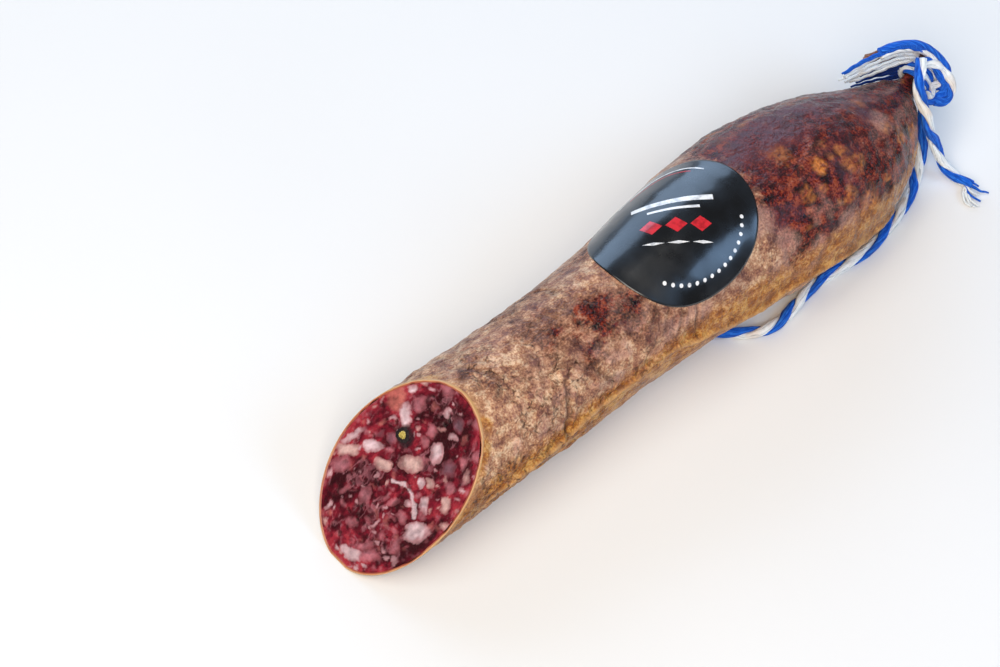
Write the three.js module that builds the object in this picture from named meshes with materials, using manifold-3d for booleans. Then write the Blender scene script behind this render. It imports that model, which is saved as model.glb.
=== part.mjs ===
// Half of a thick cured sausage, cut on the slant, lying on its side.
// The gathered end is tied with two-ply twine that also makes a hanging loop.
// Millimetres, +Z up, the surface it lies on is z = 0, +X runs from the cut to the tied end.
import * as THREE from 'three';
import { mergeVertices } from 'three/addons/utils/BufferGeometryUtils.js';
import Module from 'manifold-3d';

const wasm = await Module();
wasm.setup();

// The filled casing: where each girth is taken, its radius, and its centre sideways and up.
// The middle is slimmer than both ends and stands a little off the surface.
const GIRTHS = [
  { x: -170, radius: 23.5, side: -0.2, height: 22.9 },
  { x: -139, radius: 26.7, side: 1.1, height: 26.1 },
  { x: -109, radius: 26.6, side: 1.1, height: 26.0 },
  { x: -69, radius: 26.4, side: 0.2, height: 27.2 },
  { x: -29, radius: 26.6, side: -0.7, height: 31.6 },
  { x: 1, radius: 29.1, side: -0.5, height: 34.9 },
  { x: 31, radius: 32.4, side: 0.6, height: 31.7 },
  { x: 61, radius: 32.9, side: -0.5, height: 32.2 },
  { x: 86, radius: 29.6, side: -1.3, height: 29.6 },
  { x: 104, radius: 23.8, side: -1.2, height: 27.6 },
  { x: 119, radius: 17.3, side: 0.7, height: 26.6 },
  { x: 128, radius: 12.0, side: 2.9, height: 26.8 },
  { x: 134, radius: 6.8, side: 5.5, height: 27.4 },
  { x: 139.5, radius: 4.0, side: 6.9, height: 28.2 },
  { x: 151, radius: 3.9, side: 8.4, height: 29.8 },
];
const NECK_END = GIRTHS[GIRTHS.length - 1].x;

// The slanting cut: where it crosses the height CUT_HEIGHT, and its run for each mm of height.
const CUT_X = -128.5;
const CUT_HEIGHT = 28;
const CUT_RUN = 1.045;

// Broad unevenness of the filling, and the pleats that gather towards the tie.
const LUMP_DEPTH = 0.35;
const PLEAT_DEPTH = 0.9;
const PLEATS = 11;
const PLEATS_START = 84;
const PLEATS_FULL = 131;

// The casing's tail is folded back over the tie.
const TAIL_RADIUS = 2.9;
const TAIL_ROUTE = [
  [148, 8.2, 29.6],
  [152.8, 9.8, 30.4],
  [152.8, 13.4, 32.6],
  [147, 16.8, 34.4],
  [138, 19.4, 36.4],
  [128, 20.6, 38.4],
];

// The round sticker: its centre, measured along the sausage and backwards from the top line.
const LABEL_RADIUS = 32;
const LABEL_X = 0.2;
const LABEL_BACK = 3.5;
const LABEL_THICK = 0.3;
const GAP = 0.4;

// Two-ply twine, its two turns round the neck, and the routes of its three free runs.
const TWINE = 4.7;
const ON_SURFACE = 2.5;
const TIE_X = 145;
const TIE_LENGTH = 5.6;
const TIE_INNER = 4.3;
const TIE_OUTER = 7.3;
const LOOP_ROUTE = [
  [141.9, 5.4, 39.4],
  [138.6, 2.9, 38.8],
  [135.2, -0.3, 36.5],
  [134.8, -3.8, 32.6],
  [133.6, -6.7, 28.4],
  [133.2, -8.5, 21.4],
  [132.8, -10.4, 15.6],
  [131.7, -12.2, 11],
  [129.8, -14.2, 7],
  [125.8, -16.6, 3.6],
  [121.3, -19.2, ON_SURFACE],
  [111.6, -22.8, ON_SURFACE],
  [100.9, -25.4, ON_SURFACE],
  [90.2, -27.5, ON_SURFACE],
  [80.5, -27.7, ON_SURFACE],
  [71.3, -26.6, ON_SURFACE],
  [62.5, -25.8, ON_SURFACE],
  [53.6, -26.5, ON_SURFACE],
  [44.4, -28.3, ON_SURFACE],
  [35.9, -29.5, ON_SURFACE],
  [28.2, -28.3, ON_SURFACE],
  [22, -24.6, ON_SURFACE],
  [15.5, -18.6, ON_SURFACE],
  [8.5, -10, ON_SURFACE],
  [3, 0, ON_SURFACE],
  [1, 10, ON_SURFACE],
  [3, 19.5, ON_SURFACE],
  [10, 26.4, ON_SURFACE],
  [21, 29.2, ON_SURFACE],
  [36, 29, ON_SURFACE],
  [52, 28.2, ON_SURFACE],
  [68, 27.8, ON_SURFACE],
  [84, 26.8, ON_SURFACE],
  [99, 24.8, ON_SURFACE],
  [112, 21.8, ON_SURFACE],
  [123, 18.4, 3.6],
  [132, 15.4, 8],
  [139, 12.6, 14],
  [143.5, 10.6, 18.4],
];
const LONG_END_ROUTE = [
  [140.4, 5.3, 44.4],
  [136.2, 1.9, 43.6],
  [131.1, -2.3, 42.5],
  [129.4, -6, 39.3],
  [129.5, -10, 35],
  [130.1, -12.5, 28.4],
  [133.6, -14.4, 19.8],
  [135.7, -17.2, 12.8],
  [137.4, -20.6, 6.8],
  [139.4, -25, 3.3],
  [141.2, -29.9, ON_SURFACE],
  [142.6, -34.5, ON_SURFACE],
  [143.7, -38.2, ON_SURFACE],
];
const SHORT_END_ROUTE = [
  [143.4, -3.6, 25.6],
  [146.8, -6.2, 25.2],
  [149.8, -6, 27.2],
  [151.4, -3.6, 31],
  [151.2, 0.8, 36],
  [149, 6, 40.6],
  [145.6, 10.2, 43.4],
  [141, 12.8, 45.2],
  [135.2, 15, 46.2],
  [128.6, 16.6, 46.1],
];

// The short end is unlaid into loose yarns, fanned downwards between the twine and the casing.
const FAN_START = [127.8, 16.7, 45.9];
const FAN_END = [111.4, 19.4, 43.8];
const FAN_THICK = 2.6;
const FAN_TOP = 2.2;
const FAN_DROP = [2, 3.6, 2.2];

const SIDES_ROUND_BODY = 64;
const RINGS_ALONG_BODY = 62;
const ROUND = 2 * Math.PI;

// A smooth curve through the girths, read at any x.
function girthAt(x) {
  const last = GIRTHS.length - 1;
  let i = 0;
  while (i < last - 1 && x > GIRTHS[i + 1].x) i += 1;
  const a = GIRTHS[i];
  const b = GIRTHS[i + 1];
  const before = GIRTHS[Math.max(i - 1, 0)];
  const after = GIRTHS[Math.min(i + 2, last)];
  const span = b.x - a.x;
  const t = (x - a.x) / span;
  const blend = (name) => {
    const slopeA = ((b[name] - before[name]) / (b.x - before.x)) * span;
    const slopeB = ((after[name] - a[name]) / (after.x - a.x)) * span;
    const fromA = (2 * t ** 3 - 3 * t ** 2 + 1) * a[name] + (t ** 3 - 2 * t ** 2 + t) * slopeA;
    const fromB = (3 * t ** 2 - 2 * t ** 3) * b[name] + (t ** 3 - t ** 2) * slopeB;
    return fromA + fromB;
  };
  return { radius: blend('radius'), side: blend('side'), height: blend('height') };
}

// A point of the casing's outside, lifted off it by `above`. The angle starts at +Y and
// goes up over the top. Below the surface it lies on, the sausage is pressed flat.
function casingPoint(x, angle, above = 0) {
  const girth = girthAt(x);
  const lumps = Math.sin(2 * angle + x * 0.031) + Math.sin(3 * angle - x * 0.047 + 1.3);
  const gathered = THREE.MathUtils.smoothstep(x, PLEATS_START, PLEATS_FULL);
  const fade = THREE.MathUtils.smoothstep(girth.radius, TIE_INNER, 12);
  const pleat = (Math.abs(Math.sin((PLEATS * angle) / 2)) - 0.6) * gathered * PLEAT_DEPTH;
  const radius = girth.radius + above + (0.5 * LUMP_DEPTH * lumps + pleat) * fade;
  const y = girth.side + radius * Math.cos(angle);
  const z = Math.max(girth.height + radius * Math.sin(angle), 0);
  return new THREE.Vector3(x, y, z);
}

// Where the line along the casing at one angle meets the slanting cut.
function cutPoint(angle) {
  let x = CUT_X;
  for (let step = 0; step < 40; step += 1) {
    const height = casingPoint(x, angle).z;
    x = (x + CUT_X + CUT_RUN * (height - CUT_HEIGHT)) / 2;
  }
  return casingPoint(x, angle);
}

function meshGeometry(points, triangles) {
  const geometry = new THREE.BufferGeometry();
  const positions = points.flatMap((point) => [point.x, point.y, point.z]);
  geometry.setAttribute('position', new THREE.Float32BufferAttribute(positions, 3));
  geometry.setIndex(triangles.flat());
  return geometry;
}

// Rings of equal count joined into one closed skin, each end shut by a fan.
function closedLoft(rings) {
  const count = rings[0].length;
  const points = rings.flat();
  const triangles = [];
  for (let r = 0; r < rings.length - 1; r += 1) {
    for (let k = 0; k < count; k += 1) {
      const a = r * count + k;
      const b = r * count + ((k + 1) % count);
      triangles.push([a, b, b + count], [a, b + count, a + count]);
    }
  }
  for (const [r, front] of [[0, true], [rings.length - 1, false]]) {
    const centre = new THREE.Vector3();
    for (const point of rings[r]) centre.addScaledVector(point, 1 / count);
    points.push(centre);
    for (let k = 0; k < count; k += 1) {
      const a = r * count + k;
      const b = r * count + ((k + 1) % count);
      triangles.push(front ? [points.length - 1, b, a] : [points.length - 1, a, b]);
    }
  }
  return meshGeometry(points, triangles);
}

function toSolid(geometry) {
  const bare = geometry.clone();
  bare.deleteAttribute('normal');
  bare.deleteAttribute('uv');
  const merged = mergeVertices(bare, 1e-4);
  const vertProperties = new Float32Array(merged.attributes.position.array);
  const triVerts = new Uint32Array(merged.index.array);
  return new wasm.Manifold(new wasm.Mesh({ numProp: 3, vertProperties, triVerts }));
}

function fromSolid(solid) {
  const mesh = solid.getMesh();
  const geometry = new THREE.BufferGeometry();
  geometry.setAttribute('position', new THREE.Float32BufferAttribute(mesh.vertProperties, 3));
  geometry.setIndex(Array.from(mesh.triVerts));
  return geometry;
}

function smoothRoute(points) {
  return new THREE.CatmullRomCurve3(points.map((point) => new THREE.Vector3(...point)));
}

function roundSection(radius, sides) {
  const section = new THREE.Shape();
  for (let k = 0; k < sides; k += 1) {
    const angle = (k / sides) * ROUND;
    const corner = [radius * Math.cos(angle), radius * Math.sin(angle)];
    if (k === 0) section.moveTo(...corner);
    else section.lineTo(...corner);
  }
  section.closePath();
  return section;
}

function tube(route, radius, sides, stepLength) {
  const path = smoothRoute(route);
  const steps = Math.round(path.getLength() / stepLength);
  return new THREE.ExtrudeGeometry(roundSection(radius, sides), { steps, extrudePath: path });
}

// The filled casing from the cut to the end of the neck, with its tail joined on.
function sausageGeometry() {
  const angles = Array.from({ length: SIDES_ROUND_BODY }, (_, k) => (k / SIDES_ROUND_BODY) * ROUND);
  const rings = [];
  for (let r = 0; r <= RINGS_ALONG_BODY; r += 1) {
    const share = r / RINGS_ALONG_BODY;
    rings.push(angles.map((angle) => {
      const start = cutPoint(angle).x;
      return casingPoint(start + (NECK_END - start) * share, angle);
    }));
  }
  const body = toSolid(closedLoft(rings));
  const tail = toSolid(tube(TAIL_ROUTE, TAIL_RADIUS, 10, 3));
  return fromSolid(body.add(tail));
}

// A thin round skin that follows the casing, with an outer and an inner face.
function labelGeometry() {
  const circles = 9;
  const around = 48;
  const faces = [GAP + LABEL_THICK, GAP];
  const points = [];
  for (const above of faces) {
    for (let c = 0; c <= circles; c += 1) {
      const count = c === 0 ? 1 : around;
      for (let k = 0; k < count; k += 1) {
        const turn = (k / around) * ROUND;
        const reach = (LABEL_RADIUS * c) / circles;
        const x = LABEL_X + reach * Math.cos(turn);
        const back = LABEL_BACK + reach * Math.sin(turn);
        const angle = Math.PI / 2 - back / girthAt(x).radius;
        points.push(casingPoint(x, angle, above));
      }
    }
  }
  const perFace = points.length / 2;
  const at = (face, c, k) => face * perFace + (c === 0 ? 0 : 1 + (c - 1) * around + (k % around));
  const triangles = [];
  for (let k = 0; k < around; k += 1) {
    for (let face = 0; face < 2; face += 1) {
      const flip = (triangle) => (face === 0 ? triangle : [triangle[0], triangle[2], triangle[1]]);
      triangles.push(flip([at(face, 0, 0), at(face, 1, k), at(face, 1, k + 1)]));
      for (let c = 1; c < circles; c += 1) {
        triangles.push(flip([at(face, c, k), at(face, c + 1, k), at(face, c + 1, k + 1)]));
        triangles.push(flip([at(face, c, k), at(face, c + 1, k + 1), at(face, c, k + 1)]));
      }
    }
    triangles.push([at(0, circles, k), at(1, circles, k), at(1, circles, k + 1)]);
    triangles.push([at(0, circles, k), at(1, circles, k + 1), at(0, circles, k + 1)]);
  }
  return meshGeometry(points, triangles);
}

// Two tight turns round the neck, as one ring with a groove between them.
function tieGeometry() {
  const turnHalf = TIE_LENGTH / 4;
  const middle = (TIE_INNER + TIE_OUTER) / 2;
  const bulge = (TIE_OUTER - TIE_INNER) / 2;
  const steps = 6;
  const profile = [];
  for (const centre of [-turnHalf, turnHalf]) {
    for (let k = 0; k <= steps; k += 1) {
      const angle = Math.PI * (0.93 - (0.86 * k) / steps);
      const outward = middle + bulge * Math.sin(angle);
      profile.push(new THREE.Vector2(outward, centre + turnHalf * Math.cos(angle)));
    }
  }
  profile.push(new THREE.Vector2(TIE_INNER, turnHalf * 1.6));
  profile.push(new THREE.Vector2(TIE_INNER, -turnHalf * 1.6));
  profile.push(profile[0].clone());
  return new THREE.LatheGeometry(profile, 28);
}

// The loose yarns as one flat wedge between the end of the twine and the casing.
function fanGeometry() {
  const length = new THREE.Vector3(...FAN_END).distanceTo(new THREE.Vector3(...FAN_START));
  const outline = new THREE.Shape();
  outline.moveTo(0, FAN_TOP);
  outline.lineTo(length, FAN_TOP * 0.5);
  outline.lineTo(length, -FAN_DROP[2]);
  outline.lineTo(length / 2, -FAN_DROP[1]);
  outline.lineTo(0, -FAN_DROP[0]);
  outline.closePath();
  const fan = new THREE.ExtrudeGeometry(outline, { depth: FAN_THICK, bevelEnabled: false });
  return fan.translate(0, 0, -FAN_THICK / 2);
}

function material(color, roughness) {
  return new THREE.MeshStandardMaterial({ color, roughness, metalness: 0 });
}

function namedMesh(name, geometry, finish) {
  const mesh = new THREE.Mesh(geometry, finish);
  mesh.name = name;
  return mesh;
}

const sausage = new THREE.Group();
sausage.add(namedMesh('sausage', sausageGeometry(), material(0x8a5540, 0.5)));
sausage.add(namedMesh('label', labelGeometry(), material(0x0b0d10, 0.2)));

const tie = namedMesh('twine_tie', tieGeometry(), material(0x2c5fc4, 0.9));
const neck = girthAt(TIE_X);
const neckAhead = girthAt(TIE_X + 1);
const neckRun = new THREE.Vector3(1, neckAhead.side - neck.side, neckAhead.height - neck.height);
tie.position.set(TIE_X, neck.side, neck.height);
tie.quaternion.setFromUnitVectors(new THREE.Vector3(0, 1, 0), neckRun.normalize());
sausage.add(tie);

const runs = { twine_loop: LOOP_ROUTE, twine_long_end: LONG_END_ROUTE, twine_short_end: SHORT_END_ROUTE };
for (const [name, route] of Object.entries(runs)) {
  sausage.add(namedMesh(name, tube(route, TWINE / 2, 10, 2 * TWINE), material(0xb9c4cf, 0.9)));
}

const fan = namedMesh('twine_yarns', fanGeometry(), material(0xd9ddd8, 0.9));
const fanRun = new THREE.Vector3(...FAN_END).sub(new THREE.Vector3(...FAN_START)).normalize();
fan.position.set(...FAN_START);
const fanFace = new THREE.Vector3().crossVectors(fanRun, new THREE.Vector3(0, 0.3, 0.95)).normalize();
const fanUp = new THREE.Vector3().crossVectors(fanFace, fanRun);
fan.quaternion.setFromRotationMatrix(new THREE.Matrix4().makeBasis(fanRun, fanUp, fanFace));
sausage.add(fan);

export default sausage;
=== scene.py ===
import math
import random
from functools import partial

import bpy
import numpy as np
from mathutils import Matrix


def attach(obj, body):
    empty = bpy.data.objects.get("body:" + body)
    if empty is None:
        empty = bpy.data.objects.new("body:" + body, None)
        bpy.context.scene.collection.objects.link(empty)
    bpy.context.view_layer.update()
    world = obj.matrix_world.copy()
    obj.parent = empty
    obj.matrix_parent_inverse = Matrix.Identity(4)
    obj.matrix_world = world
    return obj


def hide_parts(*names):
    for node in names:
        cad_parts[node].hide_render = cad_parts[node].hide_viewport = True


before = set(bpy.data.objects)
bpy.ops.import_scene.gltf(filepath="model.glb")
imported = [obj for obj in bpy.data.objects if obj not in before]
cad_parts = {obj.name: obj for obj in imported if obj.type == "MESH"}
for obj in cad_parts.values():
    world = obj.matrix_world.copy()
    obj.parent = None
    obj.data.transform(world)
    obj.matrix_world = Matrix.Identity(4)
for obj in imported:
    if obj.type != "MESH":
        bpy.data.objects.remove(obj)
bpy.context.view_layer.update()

# The camera looks down and along the sausage from beyond its cut end, with a long lens, so
# the cut face is lower left in the picture and the tied end upper right.
LOOK_RIGHT = (0.73, -0.67751, 0.08992)
LOOK_UP = (0.52275, 0.63826, 0.56512)
LOOK_BACK = (-0.44026, -0.36553, 0.82009)
CAMERA_AT = (-0.51856, -0.35604, 0.87639)


def add_object(name, data):
    made = bpy.data.objects.new(name, data)
    bpy.context.scene.collection.objects.link(made)
    return made


camera = add_object("camera", bpy.data.cameras.new("camera"))
camera.data.lens = 103.76
camera.data.sensor_width = 36
turned = Matrix([LOOK_RIGHT, LOOK_UP, LOOK_BACK]).transposed().to_4x4()
camera.matrix_world = Matrix.Translation(CAMERA_AT) @ turned
bpy.context.scene.camera = camera

# Hanging loop and two free ends of soft cotton twine, laid up from one ply dyed royal blue and
# one left natural white. Each ply is a bundle of yarns twisted against the lay of the twine.
MM = 0.001
ROUND = 2 * math.pi
TWINE = 4.7
ON_SURFACE = 2.5
DYED, PLAIN = 0, 1
# A ply's radius and its middle's distance from the line, as shares of the twine's width, and
# how much broader than thick it is.
PLY_RADIUS, PLY_OFFSET, PLY_FLAT = 0.27, 0.23, 1.38
LOOP_ROUTE = [
    (141.9, 5.4, 39.4), (138.6, 2.9, 38.8), (135.2, -0.3, 36.5), (134.8, -3.8, 32.6),
    (133.6, -6.7, 28.4), (133.2, -8.5, 21.4), (132.8, -10.4, 15.6), (131.7, -12.2, 11),
    (129.8, -14.2, 7), (125.8, -16.6, 3.6),
]
LOOP_ROUTE += [(x, y, ON_SURFACE) for x, y in (
    (121.3, -19.2), (111.6, -22.8), (100.9, -25.4), (90.2, -27.5), (80.5, -27.7), (71.3, -26.6),
    (62.5, -25.8), (53.6, -26.5), (44.4, -28.3), (35.9, -29.5), (28.2, -28.3), (22, -24.6),
    (15.5, -18.6), (8.5, -10), (3, 0), (1, 10), (3, 19.5), (10, 26.4), (21, 29.2), (36, 29),
    (52, 28.2), (68, 27.8), (84, 26.8), (99, 24.8), (112, 21.8),
)]
LOOP_ROUTE += [(123, 18.4, 3.6), (132, 15.4, 8), (139, 12.6, 14), (143.5, 10.6, 18.4)]
LONG_END_ROUTE = [
    (140.4, 5.3, 44.4), (136.2, 1.9, 43.6), (131.1, -2.3, 42.5), (129.4, -6, 39.3),
    (129.5, -10, 35), (130.1, -12.5, 28.4), (133.6, -14.4, 19.8), (135.7, -17.2, 12.8),
    (137.4, -20.6, 6.8), (139.4, -25, 3.3), (140.9, -29.9, ON_SURFACE),
    (141.3, -32.8, ON_SURFACE),
]
SHORT_END_ROUTE = [
    (143.4, -3.6, 25.6), (146.8, -6.2, 25.2), (149.8, -6, 27.2), (151.4, -3.6, 31),
    (151.2, 0.8, 36), (149, 6, 40.6), (145.6, 10.2, 43.4), (141, 12.8, 45.2),
    (135.2, 15, 46.2), (128.6, 16.6, 46.1),
]


def linear(hex_colour):
    parts = [int(hex_colour[i : i + 2], 16) / 255 for i in (1, 3, 5)]
    return [c / 12.92 if c <= 0.04045 else ((c + 0.055) / 1.055) ** 2.4 for c in parts] + [1]


# Gives an input a value, or joins it to a socket or to the output that a node has in use.
def put(socket, value):
    if isinstance(value, bpy.types.Node):
        value = next(output for output in value.outputs if output.enabled)
    if isinstance(value, bpy.types.NodeSocket):
        socket.id_data.links.new(value, socket)
    else:
        socket.default_value = value


# Adds a node with its settings, values and links. Inputs go by name or number: a map range has
# its limits in 1 to 4, from and to, and a mix of colours has the two in 6 and 7.
def node(tree, kind, inputs=None, stops=None, **settings):
    made = tree.nodes.new("ShaderNode" + kind)
    for name, value in settings.items():
        setattr(made, name, value)
    for socket, value in (inputs or {}).items():
        put(made.inputs[socket], value)
    if stops:
        bar = made.color_ramp.elements
        while len(bar) < len(stops):
            bar.new(1)
        for mark, (place, hex_colour) in zip(bar, stops):
            mark.position, mark.color = place, linear(hex_colour)
    return made


def shade_with(shader, **sockets):
    for socket, value in sockets.items():
        put(shader.inputs[socket.replace("_", " ")], value)


def new_material(name, **sockets):
    made = bpy.data.materials.new(name)
    made.use_nodes = True
    shader = made.node_tree.nodes["Principled BSDF"]
    shade_with(shader, **sockets)
    add = partial(node, made.node_tree)
    return made, add, shader, add("TexCoord").outputs["Object"]


# Cotton yarn, ring-spun, one lot dyed and one left natural: dull and slightly hairy. Its fibres
# vary in tone, the grooves between its yarns are painted darker as painted shade, and rubbing
# on the casing has stained it tan in places.
def cotton(name, hollow_shade, body, tip, stain, most_stain):
    made, add, shader, place = new_material(
        name, IOR=1.5, Specular_IOR_Level=0.25, Roughness=0.86, Sheen_Weight=0.05, Sheen_Roughness=0.5
    )
    surface = add("UVMap", uv_map="surface")
    # Fibres run with the yarn, drawn 0.35 mm apart so that they show, and about 4 mm long.
    drawn = add("Mapping", {"Vector": surface, "Scale": (250, 2900, 1)})
    fibre = add("TexNoise", {"Vector": drawn, "Scale": 1, "Detail": 3})
    # The groove value, highest between the yarns, darkens the colour there: painted shade.
    groove_shade = add("Attribute", attribute_name="groove").outputs["Fac"]
    shade = add("Math", {0: groove_shade, 1: -0.2, 2: fibre}, operation="MULTIPLY_ADD")
    dyed = add("ValToRGB", {"Fac": shade}, [(0.12, hollow_shade), (0.4, body), (0.68, tip)])
    blotch = add("TexNoise", {"Vector": place, "Scale": 90, "Detail": 3})
    spread = add("MapRange", {"Value": blotch, 1: 0.5, 2: 0.7, 4: most_stain})
    soiled = add("Mix", {0: spread, 6: dyed, 7: linear(stain)}, data_type="RGBA")
    bump = add("Bump", {"Height": fibre, "Strength": 0.7, "Distance": 0.0003})
    shade_with(shader, Base_Color=soiled, Normal=bump)
    return made


blue_cotton = cotton("dyed blue cotton yarn", "#001d5e", "#0354c6", "#3a8aec", "#2a4a80", 0.3)
white_cotton = cotton("natural white cotton yarn", "#8b979f", "#e9eff1", "#fdfefe", "#cfa370", 0.42)


def unit(vectors):
    return vectors / np.linalg.norm(vectors, axis=-1, keepdims=True)


def run_of(centres):
    return np.append(0, np.cumsum(np.linalg.norm(np.diff(centres, axis=0), axis=1)))


# Places at shares t of a curve from a to b, with the ways in which it leaves and arrives.
def curve(t, a, b, leaves, arrives):
    return (
        (2 * t**3 - 3 * t**2 + 1) * a + (t**3 - 2 * t**2 + t) * leaves
        + (3 * t**2 - 2 * t**3) * b + (t**3 - t**2) * arrives
    )


# A smooth line through a route's points, in even steps.
def follow(route, step):
    p = np.array(route, float)
    p = np.vstack([2 * p[0] - p[1], p, 2 * p[-1] - p[-2]])
    t = np.linspace(0, 1, 24, endpoint=False)[:, None]
    dense = []
    for a, b, c, d in zip(p, p[1:], p[2:], p[3:]):
        ab, bc, cd = (math.dist(m, n) ** 0.5 for m, n in ((a, b), (b, c), (c, d)))
        leaves = ((b - a) / ab - (c - a) / (ab + bc) + (c - b) / bc) * bc
        arrives = ((c - b) / bc - (d - b) / (bc + cd) + (d - c) / cd) * bc
        dense.append(curve(t, b, c, leaves, arrives))
    dense = np.vstack(dense + [p[-2:-1]])
    run = run_of(dense)
    even = np.linspace(0, run[-1], max(3, round(run[-1] / step)))
    return np.column_stack([np.interp(even, run, dense[:, k]) for k in range(3)])


# Directions across a route that don't spin as they go along it.
def across(centres):
    along = unit(np.gradient(centres, axis=0))
    side = np.empty_like(centres)
    side[0] = unit(np.cross(along[0], (0.31, 0.2, 0.93)))
    for i in range(1, len(centres)):
        side[i] = unit(side[i - 1] - along[i] * (side[i - 1] @ along[i]))
    return side, np.cross(along, side)


# Builds one piece from grids of points in millimetres. Each grid is a dict: its points, whether
# its columns close into a ring, its material's number, and values kept on its points.
def build(name, grids, materials, caps=True):
    points, faces, slots, places = [], [], [], []
    values = {key: [] for key in grids[0].get("values", {})}
    start = 0
    for grid in grids:
        spots = grid["points"]
        rows, columns = spots.shape[:2]
        closed = grid.get("closed", True)
        k = np.arange(columns if closed else columns - 1)
        i = start + columns * np.arange(rows - 1)[:, None]
        after = (k + 1) % columns
        corners = [i + k, i + after, i + columns + after, i + columns + k]
        quads = np.stack(corners, -1).reshape(-1, 4)
        run, turn = grid["along"], grid["around"]
        slant = grid.get("slant", np.zeros(rows))
        low, high = slice(None, -1), slice(1, None)
        flat = [
            np.stack(np.broadcast_arrays(run[r, None], turn[c] + slant[r, None]), -1)
            for r, c in ((low, k), (low, k + 1), (high, k + 1), (high, k))
        ]
        places.append(np.stack(flat, 2).reshape(-1, 2))
        faces += quads.tolist()
        if closed and caps:
            faces.append(list(range(start, start + columns))[::-1])
            faces.append(list(range(start + (rows - 1) * columns, start + rows * columns)))
            places.append(np.zeros((2 * columns, 2)))
        slots += [grid.get("slot", 0)] * (len(faces) - len(slots))
        points.append(spots.reshape(-1, 3))
        for key in values:
            values[key].append(np.broadcast_to(grid["values"][key], (rows, columns)).ravel())
        start += rows * columns
    mesh = bpy.data.meshes.new(name)
    mesh.from_pydata((np.vstack(points) * MM).tolist(), [], faces)
    mesh.uv_layers.new(name="surface").uv.foreach_set("vector", np.vstack(places).ravel())
    for key, held in values.items():
        made = mesh.attributes.new(key, "FLOAT", "POINT")
        made.data.foreach_set("value", np.concatenate(held).astype(np.float32))
    for material in materials:
        mesh.materials.append(material)
    mesh.polygons.foreach_set("material_index", slots)
    mesh.polygons.foreach_set("use_smooth", [True] * len(faces))
    mesh.update()
    return add_object(name, mesh)


# One ply or yarn wound round a line: `offset` is how far its middle is from the line and `turn`
# its place round it. It is `flat` times as wide as it is thick, where soft plies press together.
# Its own yarns stand out as low ridges.
def wound(line, radius, offset, turn, sides, slot, yarns=5, yarn_lay=-20, taper=1, flat=1):
    run = run_of(line)
    side, up = across(line)
    out = np.cos(turn)[:, None] * side + np.sin(turn)[:, None] * up
    middle = line + offset * out
    along = unit(np.gradient(middle, axis=0))
    out = unit(out - along * np.sum(along * out, -1, keepdims=True))
    broad = np.cross(along, out)
    angle = np.linspace(0, ROUND, sides + 1)
    twist = ROUND * run / yarn_lay
    ridge = np.abs(np.sin(0.5 * yarns * (angle[None, :-1] + twist[:, None])))
    wave = 1 + 0.04 * np.sin(run / 2.3 + turn[0] * 3) + 0.03 * np.sin(run / 0.9 + turn[0])
    size = radius * (0.96 + 0.055 * ridge) * wave[:, None]
    size *= np.linspace(1, taper, len(run))[:, None]
    spots = middle[:, None] + size[..., None] * (
        np.cos(angle[:-1])[:, None] * out[:, None]
        + flat * np.sin(angle[:-1])[:, None] * broad[:, None]
    )
    # The `groove` value, highest between its own yarns, is used to paint shade into the colour there.
    return {
        "points": spots, "along": run * MM, "around": angle * radius * MM, "slot": slot,
        "slant": twist * radius * MM, "values": {"groove": 1 - ridge},
    }


# Two plies laid together. `turns` says how many turns they have made at each length run, in
# millimetres: the lay is to the left and has slackened unevenly with handling.
def twine(name, route, turns, width=TWINE, step=0.7):
    line = follow(route, step)
    turn = ROUND * np.interp(run_of(line), [t[0] for t in turns], [t[1] for t in turns])
    plies = [
        wound(
            line, width * PLY_RADIUS, width * PLY_OFFSET, turn + slot * math.pi, sides=24, slot=slot,
            flat=PLY_FLAT,
        )
        for slot in (DYED, PLAIN)
    ]
    return build(name, plies, [blue_cotton, white_cotton])


# A bundle of loose yarns where the twine has come unlaid: each goes by its own way, thinning
# to a soft end. The ones in `shaded` lie deep under the others and get painted shade: their
# groove value is raised so their colour darkens.
def loose_yarns(name, ways, radius=0.62, shaded=range(0)):
    grids = []
    for n, (slot, *way) in enumerate(ways):
        line = follow(way, 0.5)
        turn = n * 1.7 + ROUND * run_of(line) / 5
        grid = wound(line, radius, 0.12, turn, sides=10, slot=slot, yarns=3, yarn_lay=-7, taper=0.6)
        # Painted shade for the yarns that lie deep under the others.
        grid["values"]["groove"] = grid["values"]["groove"] + (1.5 if n in shaded else 0)
        grids.append(grid)
    return build(name, grids, [blue_cotton, white_cotton])


# Works out the length of a free run of the twine along its route, and points along it, but keeps
# neither.
def declare(piece, route, **facts):
    float(run_of(follow(route, 0.7))[-1]) * MM
    [tuple(p) for p in follow(route, 2) * MM]


LOOP_TURNS = [
    (0, 1.93), (44, 0.3), (52, -0.2), (67, -0.74), (80, -1.24), (100, -1.78), (115, -2.26),
    (128, -2.74), (140, -3.26), (150, -3.79), (160, -4.24), (360, -12.9),
]
loop = twine("hanging_loop", LOOP_ROUTE, LOOP_TURNS)
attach(loop, "root")
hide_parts("twine_loop")
declare(loop, LOOP_ROUTE, far_end="object", lay="loose")

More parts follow.
